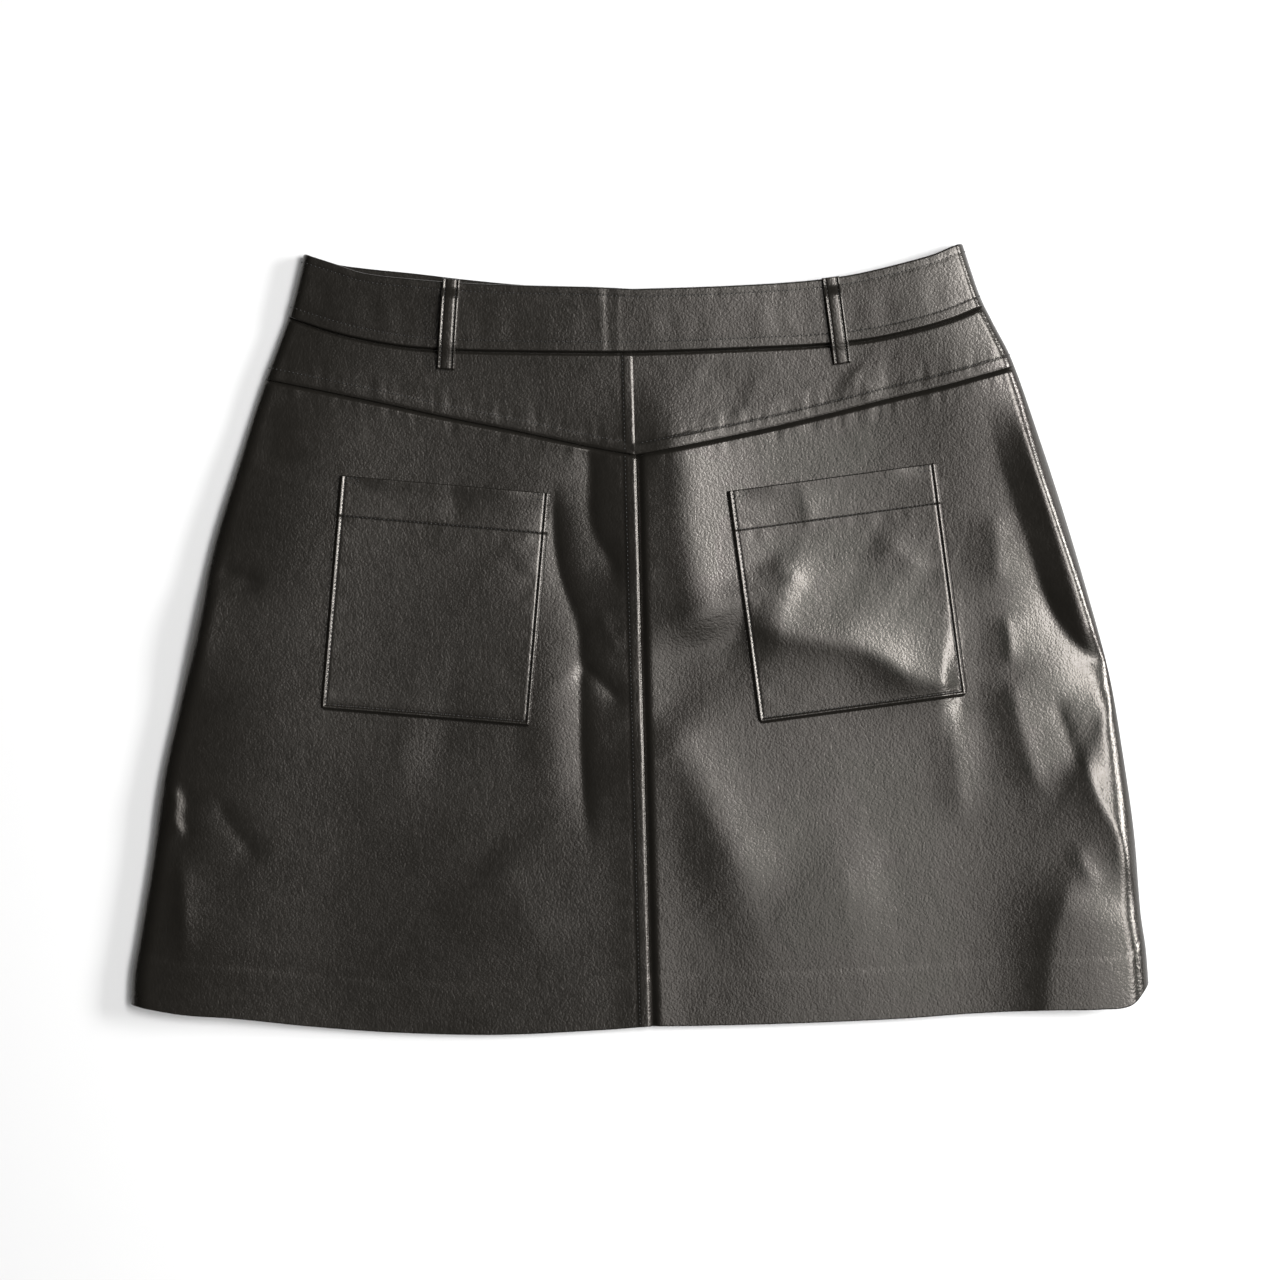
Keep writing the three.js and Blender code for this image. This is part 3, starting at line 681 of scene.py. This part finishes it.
def frontShape(side, columns, rows, drop):
    x, y = layOut(side, columns, rows)
    sign = -1 if side == "left" else 1

    def points(inset):
        return np.stack([sign * x, y, drop + inset + 0 * x], -1)
    return points


def frontRows():
    lines = []
    flat = {"low": "frontSeam", "high": "frontWaist"}
    for side in ("left", "right"):
        sign = -1 if side == "left" else 1
        for share, add in ((0, band["lowRow"]), (1, -band["topRow"])):
            x, y = layOut(side, frontColumns, {**flat, "share": [share], "add": [add]})
            lines.append(np.stack([sign * x[0], y[0], 0 * x[0] + 0.16], -1))
    angles = np.linspace(0, math.pi / 2, 14)
    turnX = front["flyWide"] - front["flyTurn"] * (1 - np.cos(angles))
    turnY = front["flyLow"] + front["flyTurn"] * (1 - np.sin(angles))
    x = np.concatenate([[front["flyWide"], front["flyWide"]], turnX, [2.5]])
    y = np.concatenate([[158, 120], turnY, [front["flyLow"]]])
    lines.append(np.stack([x, y, 0 * x + front["panelDrop"] - 0.02], -1))
    return [(line, -upwards(line)) for line in lines]


def group(name, inputs, outputs):
    tree = bpy.data.node_groups.new(name, "ShaderNodeTree")
    for label, kind, start in inputs:
        socket = tree.interface.new_socket(name=label, in_out="INPUT", socket_type=kind)
        socket.default_value = start
    for label, kind in outputs:
        tree.interface.new_socket(name=label, in_out="OUTPUT", socket_type=kind)
    return tree, tree.nodes.new("NodeGroupInput"), tree.nodes.new("NodeGroupOutput")


def node(tree, kind, inputs=None, **settings):
    made = tree.nodes.new("ShaderNode" + kind)
    for key, value in settings.items():
        setattr(made, key, value)
    for key, value in (inputs or {}).items():
        if isinstance(value, bpy.types.NodeSocket):
            tree.links.new(value, made.inputs[key])
        else:
            made.inputs[key].default_value = value
    return made


def pebbleGroup():
    # fine pebbled grain: rounded cells with thin valleys, broken by a softer second size
    tree, given, out = group(
        "pebbleGrain",
        [("Position", "NodeSocketVector", (0, 0, 0)), ("Cells", "NodeSocketFloat", 900.0),
         ("Depth", "NodeSocketFloat", 1.0)],
        [("Height", "NodeSocketFloat")],
    )
    wobble = node(tree, "TexNoise", {"Vector": given.outputs["Position"], "Scale": 260.0, "Detail": 2.0})
    shift = node(tree, "VectorMath", {0: wobble.outputs["Color"], 1: (0.5, 0.5, 0.5)}, operation="SUBTRACT")
    small = node(tree, "VectorMath", {0: shift.outputs[0], "Scale": 0.0012}, operation="SCALE")
    moved = node(tree, "VectorMath", {0: given.outputs["Position"], 1: small.outputs[0]}, operation="ADD")
    cells = node(tree, "TexVoronoi", {"Vector": moved.outputs[0], "Scale": given.outputs["Cells"]},
                 feature="SMOOTH_F1")
    cells.inputs["Smoothness"].default_value = 0.35
    larger = node(tree, "Math", {0: given.outputs["Cells"], 1: 0.42}, operation="MULTIPLY")
    folds = node(tree, "TexVoronoi", {"Vector": moved.outputs[0], "Scale": larger.outputs[0]},
                 feature="DISTANCE_TO_EDGE")
    valley = node(tree, "Math", {0: folds.outputs["Distance"], 1: 0.16}, operation="MINIMUM")
    deep = node(tree, "Math", {0: valley.outputs[0], 1: 2.2}, operation="MULTIPLY")
    crown = node(tree, "Math", {0: 0.5, 1: cells.outputs["Distance"]}, operation="SUBTRACT")
    both = node(tree, "Math", {0: crown.outputs[0], 1: deep.outputs[0]}, operation="ADD")
    scaled = node(tree, "Math", {0: both.outputs[0], 1: given.outputs["Depth"]}, operation="MULTIPLY")
    tree.links.new(scaled.outputs[0], out.inputs["Height"])
    return tree


def unevenGroup():
    # slow and fine unevenness, 0 to 1 around a half
    tree, given, out = group(
        "unevenTone",
        [("Position", "NodeSocketVector", (0, 0, 0)), ("Broad", "NodeSocketFloat", 14.0),
         ("Fine", "NodeSocketFloat", 140.0), ("Mix", "NodeSocketFloat", 0.35)],
        [("Value", "NodeSocketFloat")],
    )
    where = given.outputs["Position"]
    broad = node(tree, "TexNoise",
                 {"Vector": where, "Scale": given.outputs["Broad"], "Detail": 3.0, "Distortion": 0.4})
    fine = node(tree, "TexNoise", {"Vector": where, "Scale": given.outputs["Fine"], "Detail": 4.0})
    mixed = node(tree, "Mix", {0: given.outputs["Mix"], 2: broad.outputs["Fac"], 3: fine.outputs["Fac"]},
                 data_type="FLOAT")
    tree.links.new(mixed.outputs[0], out.inputs["Value"])
    return tree


def newMaterial(name):
    material = bpy.data.materials.new(name)
    material.use_nodes = True
    shader = material.node_tree.nodes["Principled BSDF"]
    where = material.node_tree.nodes.new("ShaderNodeTexCoord")
    return material, material.node_tree, shader, where.outputs["Object"]


def blend(tree, share, dark, light):
    return node(tree, "Mix", {0: share, 6: dark, 7: light}, data_type="RGBA").outputs[2]


def ramp(tree, value, low, high):
    spread = {"Value": value, "From Min": 0.3, "From Max": 0.7, "To Min": low, "To Max": high}
    return node(tree, "MapRange", spread).outputs["Result"]


blackLeather = {
    "dark": (0.0062, 0.0057, 0.0048, 1), "worn": (0.0115, 0.0102, 0.0085, 1),
    "smoothest": 0.20, "roughest": 0.29, "grainCells": 800.0, "grainDepth": 0.00007, "bump": 0.8,
    "slackScale": 110.0, "slackDepth": 0.00016, "shine": (1, 0.935, 0.87, 1),
}


def makeLeather(look):
    material, tree, shader, where = newMaterial("blackLeather")
    tone = node(tree, "Group", {}, node_tree=unevenTone)
    tree.links.new(where, tone.inputs["Position"])
    rub = node(tree, "Group", {"Broad": 30.0, "Fine": 260.0, "Mix": 0.5}, node_tree=unevenTone)
    tree.links.new(where, rub.inputs["Position"])
    colour = blend(tree, tone.outputs["Value"], look["dark"], look["worn"])
    tree.links.new(colour, shader.inputs["Base Color"])
    roughness = ramp(tree, rub.outputs["Value"], look["smoothest"], look["roughest"])
    tree.links.new(roughness, shader.inputs["Roughness"])
    cells = {"Cells": look["grainCells"], "Depth": look["grainDepth"]}
    grain = node(tree, "Group", cells, node_tree=pebbleGrain)
    tree.links.new(where, grain.inputs["Position"])
    slack = node(tree, "TexNoise", {"Vector": where, "Scale": look["slackScale"], "Detail": 2.0})
    loose = node(tree, "Math", {0: slack.outputs["Fac"], 1: look["slackDepth"]}, operation="MULTIPLY")
    relief = node(tree, "Math", {0: grain.outputs["Height"], 1: loose.outputs[0]}, operation="ADD")
    raised = node(tree, "Bump", {"Height": relief.outputs[0], "Strength": look["bump"], "Distance": 1.0})
    tree.links.new(raised.outputs["Normal"], shader.inputs["Normal"])
    shader.inputs["Specular Tint"].default_value = look["shine"]
    return material


def makeThread():
    material, tree, shader, where = newMaterial("blackThread")
    tone = node(tree, "Group", {"Broad": 900.0, "Fine": 4000.0}, node_tree=unevenTone)
    tree.links.new(where, tone.inputs["Position"])
    colour = blend(tree, tone.outputs["Value"], (0.002, 0.002, 0.002, 1), (0.007, 0.0065, 0.006, 1))
    tree.links.new(colour, shader.inputs["Base Color"])
    tree.links.new(ramp(tree, tone.outputs["Value"], 0.45, 0.7), shader.inputs["Roughness"])
    return material


def makeTape():
    material, tree, shader, where = newMaterial("zipTape")
    weave = node(tree, "TexWave", {"Vector": where, "Scale": 500.0, "Distortion": 0.4},
                 bands_direction="DIAGONAL")
    colour = blend(tree, weave.outputs["Fac"], (0.004, 0.004, 0.005, 1), (0.02, 0.02, 0.022, 1))
    tree.links.new(colour, shader.inputs["Base Color"])
    raised = node(tree, "Bump", {"Height": weave.outputs["Fac"], "Strength": 0.5, "Distance": 0.0002})
    tree.links.new(raised.outputs["Normal"], shader.inputs["Normal"])
    shader.inputs["Roughness"].default_value = 0.85
    return material


def makeFloor():
    material, tree, shader, where = newMaterial("whitePaper")
    tone = node(tree, "Group", {"Broad": 3.0, "Fine": 40.0}, node_tree=unevenTone)
    tree.links.new(where, tone.inputs["Position"])
    colour = blend(tree, tone.outputs["Value"], (0.61, 0.61, 0.61, 1), (0.63, 0.63, 0.63, 1))
    tree.links.new(colour, shader.inputs["Base Color"])
    shader.inputs["Roughness"].default_value = 0.9
    shader.inputs["Emission Color"].default_value = (1, 1, 1, 1)
    shader.inputs["Emission Strength"].default_value = room["floorGlow"]
    return material


# Camera straight above, turned with the photograph's slight lean
view = {
    "mmPerPixel": 0.56, "frame": 1280, "seamPixel": (641, 639), "lean": math.atan2(18, 675),
    "above": 1.7, "plane": 0.006,
}
room = {
    "floorGlow": 0.12, "skyLeft": 0.012, "skyRight": 0.24,
    "key": {"toward": (0.85, 0.14, 0.41), "distance": 2.2, "size": (1.1, 0.45), "watts": 72},
    "fill": {"toward": (0.33, 0.0, 0.94), "distance": 2.2, "size": (2.0, 1.2), "watts": 22},
    "window": {"toward": (0.43, 0.10, 0.90), "distance": 2.2, "size": (1.3, 0.5), "watts": 44},
}


def makeCamera():
    middle = view["frame"] / 2
    across = middle - view["seamPixel"][0]
    up = view["seamPixel"][1] - middle
    c, s = math.cos(view["lean"]), math.sin(view["lean"])
    x = view["mmPerPixel"] * (across * c + up * s) + centreX
    y = view["mmPerPixel"] * (up * c - across * s) + centreY
    camera = bpy.data.objects.new("camera", bpy.data.cameras.new("camera"))
    bpy.context.scene.collection.objects.link(camera)
    camera.location = (x * mm, y * mm, view["above"])
    camera.rotation_euler = (0, 0, -view["lean"])
    wide = view["frame"] * view["mmPerPixel"] * mm
    camera.data.lens = camera.data.sensor_width * (view["above"] - view["plane"]) / wide
    camera.data.clip_start = 0.01
    bpy.context.scene.camera = camera


def makeLight(name, toward, distance, size, watts):
    lamp = bpy.data.lights.new(name, "AREA")
    lamp.shape = "RECTANGLE"
    lamp.size, lamp.size_y = size
    lamp.energy = watts
    light = bpy.data.objects.new(name, lamp)
    bpy.context.scene.collection.objects.link(light)
    light.location = Vector(toward).normalized() * distance
    light.rotation_euler = light.location.to_track_quat("Z", "Y").to_euler()


def makeRoom():
    world = bpy.data.worlds.new("room")
    bpy.context.scene.world = world
    world.use_nodes = True
    tree = world.node_tree
    where = node(tree, "TexCoord")
    split = node(tree, "SeparateXYZ", {0: where.outputs["Generated"]})
    side = node(tree, "MapRange", {
        "Value": split.outputs["X"], "From Min": -0.15, "From Max": 0.6,
        "To Min": room["skyLeft"], "To Max": room["skyRight"],
    }, interpolation_type="SMOOTHSTEP")
    up = node(tree, "MapRange", {"Value": split.outputs["Z"], "From Min": 0.1, "From Max": 0.8},
              interpolation_type="SMOOTHSTEP")
    both = node(tree, "Math", {0: side.outputs["Result"], 1: up.outputs["Result"]}, operation="MULTIPLY")
    tree.links.new(both.outputs[0], tree.nodes["Background"].inputs["Strength"])
    tree.nodes["Background"].inputs["Color"].default_value = (1.0, 0.985, 0.96, 1)
    for name in ("key", "fill", "window"):
        makeLight(name, **room[name])
    bpy.ops.mesh.primitive_plane_add(size=6)
    floor = bpy.context.object
    floor.name = "floor"
    floor.data.transform(Matrix.Translation((0, 0, -0.0004)))
    floor.data.materials.append(makeFloor())
    bpy.context.scene.view_settings.view_transform = "Standard"


unevenTone = unevenGroup()
pebbleGrain = pebbleGroup()
makeCamera()
makeRoom()
leatherLook = makeLeather(blackLeather)
threadLook = makeThread()
tapeLook = makeTape()
threadStitch = baseStitch()
print("room, camera and materials made")

# Back: lower halves, yoke and waistband. cuts gives each flat pattern piece in metres.
cuts = {
    "backPanel": {"flat": (0.305, 0.378), "area": 0.0965},
    "backYoke": {"flat": (0.225, 0.086), "area": 0.0102},
    "waistbandBack": {"flat": (0.43, 0.045), "area": 0.0157},
    "frontPanel": {"flat": (0.281, 0.402), "area": 0.0932},
    "waistbandFront": {"flat": (0.190, 0.046), "area": 0.0069},
    "pocket": {"flat": (0.1195, 0.134), "area": 0.0158},
    "beltLoop": {"flat": (0.0114, 0.055), "area": 0.0006},
}
nearCentre = {
    "left": seamSteps + [11.5],
    "right": [-tuck["under"], -2.4, -1.2] + edgeSteps + [5, 6.6, 8.6, 10.6],
}
hemSteps = edgeSteps + [6, 9, 12.5, 16, 19.5, 22.5, 25, 26.6, 27.6, 28.5, 29.3, 30.2, 31.4, 33]
tucked = [-3.4, -2.6, -1.8, -1, -0.2, 0.8, 2.2, tuck["under"]]
panelTop, yokeTop = [-8, -6, -4.6] + tucked, [-6, -4.4] + tucked
mesh = {"panelColumns": 158, "panelRows": 162, "yokeRows": 14, "bandColumns": 110, "bandRows": 9}
for side in ("left", "right"):
    columns = columnsOf(np.array(nearCentre[side]), mesh["panelColumns"])
    rows = rowsOf("hem", "yokeSeam", hemSteps, mesh["panelRows"], panelTop)
    x, y = layOut(side, columns, rows)
    above = y - seamAt(side, np.clip(x / edgeAt(side, y), 0, 1), "hem")
    thick = leather["ply"] + (leather["doubled"] - leather["ply"]) * smooth((29 - above) / 3)
    panel = wall(f"backPanel_{side}", shapeOf(side, columns, rows, panelLift(side)), thick, 0.55)
    hand(panel, f"back_panel_{side}", "leather", leatherLook,
         rests_on=[f"front_panel_{side}"], **cuts["backPanel"])

    rows = rowsOf("yokeSeam", "bandSeam", seamSteps, mesh["yokeRows"], yokeTop)
    yoke = wall(f"backYoke_{side}", shapeOf(side, columns, rows, yokeLift(side)), leather["ply"], 0.55)
    hand(yoke, f"back_yoke_{side}", "leather", leatherLook,
         rests_on=[f"front_panel_{side}"], **cuts["backYoke"])
print("back panels and yoke sewn")

columns = columnsOf(np.array([0.8, 2.6, 4.6, 7, 9.4]), mesh["bandColumns"])
bandLow = edgeSteps + [4.5, 5, 5.35, 5.6, 5.85, 6.2, 6.8, 7.8]
bandHigh = [-7, -5.9, -5.2, -4.8, -4.5, -4.2, -3.8, -3.1, -2.3, -1.6, -1.1, -0.7, -0.4, -0.2, -0.08, 0]
rows = rowsOf("bandSeam", "backWaist", bandLow, mesh["bandRows"], bandHigh)
waistband = wall("waistbandBack", acrossBoth(columns, rows, bandLift), leather["doubled"], 1.0)
hand(waistband, "back_waistband", "leather", leatherLook,
     rests_on=["front_waistband_left", "front_waistband_right"], **cuts["waistbandBack"])
lowLine, lowOut = acrossLine(columns, "bandSeam", "backWaist", 0, band["lowRow"], bandLift)
topLine, topOut = acrossLine(columns, "bandSeam", "backWaist", 1, -band["topRow"], bandLift)
sewStitches("waistbandStitches", [(lowLine, lowOut), (topLine, topOut)])

rows = []
for side in ("left", "right"):
    start = [8.2, 10.2] if side == "left" else [2.4, 5, 7.6, 10.2]
    columns = columnsOf(np.array(start), mesh["bandColumns"])
    rows.append(lineOver(side, columns, "yokeSeam", "bandSeam", 0, lap["width"] + 0.15, yokeLift(side)))
sewStitches("yokeStitches", rows)
centreRows = []
for low, high, lift in (("hem", "yokeSeam", panelLift("left")), ("yokeSeam", "bandSeam", yokeLift("left"))):
    start, end = seamAt("left", 0.03, low) + 1.2, seamAt("left", 0.03, high) - 1.2
    y = np.linspace(start, end, int((end - start) / 1.2))
    x = y * 0 - lap["width"] - 0.1
    centreRows.append((np.stack([x, y, height(x, y) + lift(x, y)], -1), upwards(y)))
sewStitches("centreStitches", centreRows)
print("waistband and seams sewn")

for side in ("left", "right"):
    shape, thick = pocketShape(side)
    patch = wall(f"pocketPatch_{side}", shape, thick, 0.62)
    hand(patch, f"pocket_{side}", "leather", leatherLook,
         rests_on=[f"backPanel_{side}"], **cuts["pocket"])
    sewStitches(f"pocketStitches_{side}", pocketRows(side))

    shape, thick, edges = loopShape(side)
    beltLoop = wall(f"beltLoop_{side}", shape, thick, 0.7)
    hand(beltLoop, f"belt_loop_{side}", "leather", leatherLook,
         rests_on=["waistbandBack"], **cuts["beltLoop"])
    sewStitches(f"loopStitches_{side}", edges)
print("pockets and belt loops sewn")

edgeShare = np.array(edgeSteps) / 240
frontShares = np.concatenate([edgeShare, np.linspace(0.03, 0.97, 56), 1 - edgeShare[::-1]])
frontColumns = (np.full(len(frontShares), 4), frontShares, np.zeros(len(frontShares)))
topSteps = [-step for step in edgeSteps[::-1]]
frontHem = edgeSteps + [8, 14, 20, 25, 27, 28, 29, 31]
frontLow = [0.15] + edgeSteps[1:] + [5, 5.6, 6.2, 7.4]
for side in ("left", "right"):
    rows = rowsOf("hem", "frontSeam", frontHem, 64, topSteps[:-1] + [-0.15])
    shape = frontShape(side, frontColumns, rows, front["panelDrop"])
    frontPanel = wall(f"frontPanel_{side}", shape, leather["ply"], 0.5)
    hand(frontPanel, f"front_panel_{side}", "leather", leatherLook,
         rests_on=["floor"], **cuts["frontPanel"])
    rows = rowsOf("frontSeam", "frontWaist", frontLow, 6, [-6, -5, -4.5, -4] + topSteps)
    shape = frontShape(side, frontColumns, rows, 0)
    frontBand = wall(f"waistbandFront_{side}", shape, leather["doubled"], 1.0)
    hand(frontBand, f"front_waistband_{side}", "leather", leatherLook,
         rests_on=["floor"], **cuts["waistbandFront"])
sewStitches("frontStitches", frontRows())
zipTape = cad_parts["fly_zip"]
for place in zipTape.material_slots:
    place.material = tapeLook
print("front and zip sewn")
bpy.context.view_layer.update()
